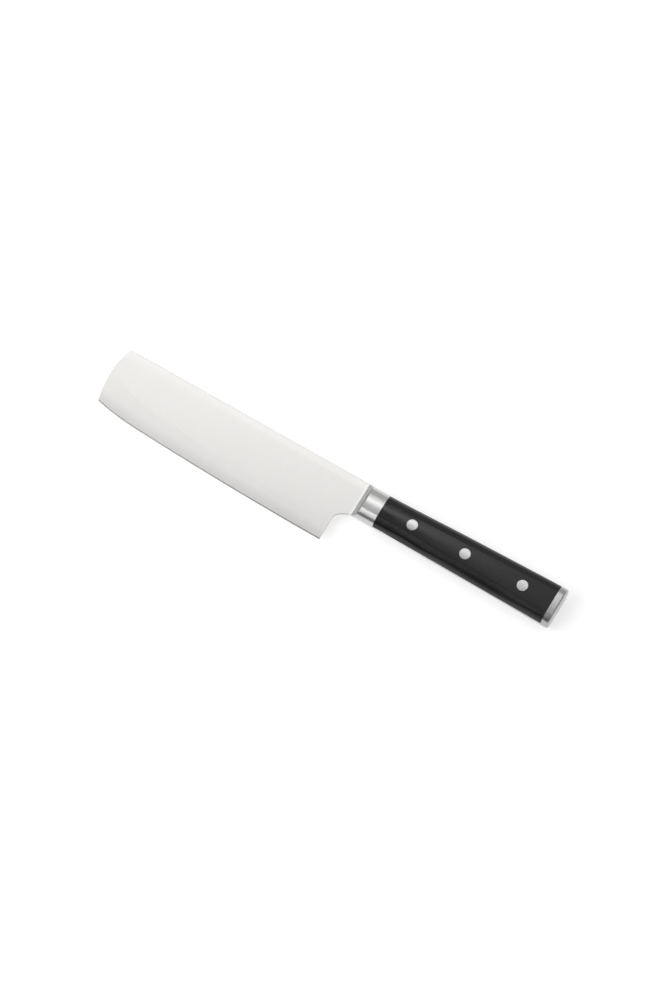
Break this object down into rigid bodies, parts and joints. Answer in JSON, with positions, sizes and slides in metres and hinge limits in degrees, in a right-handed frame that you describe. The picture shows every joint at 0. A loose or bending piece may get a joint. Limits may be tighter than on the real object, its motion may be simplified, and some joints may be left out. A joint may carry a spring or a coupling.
{
  "type": "nakiri knife",
  "caption": "Nakiri vegetable knife: broad straight-edged blade with a squared tip, steel bolster, black riveted handle on a full tang and a steel butt cap.",
  "frame": {"origin": "centre of the outline's length and width, on the surface that the right cheek of the handle rests on", "axes": "+X from the blade's tip to the butt, +Y from the edge to the spine, +Z from the right side to the left side, up when the knife lies on its right side"},
  "size_m": [0.3042, 0.0476, 0.015],
  "materials": {
    "blade_steel": "fine satin grind across the blade, even and bright",
    "bolster_steel": "fine satin with soft reflections",
    "rivet_steel": "ground flush with the scales, fine satin",
    "cap_steel": "soft satin, duller than the bolster",
    "scale_plastic": "satin black acetal, linished flush with the steel"
  },
  "bodies": {
    "root": {"blade_and_tang": "blade_steel", "bolster_left": "bolster_steel", "bolster_right": "bolster_steel", "scale_left": "scale_plastic", "scale_right": "scale_plastic", "end_cap": "cap_steel", "rivet_socket_1": "rivet_steel", "rivet_post_1": "rivet_steel", "rivet_socket_2": "rivet_steel", "rivet_post_2": "rivet_steel", "rivet_socket_3": "rivet_steel", "rivet_post_3": "rivet_steel"}
  },
  "joints": []
}
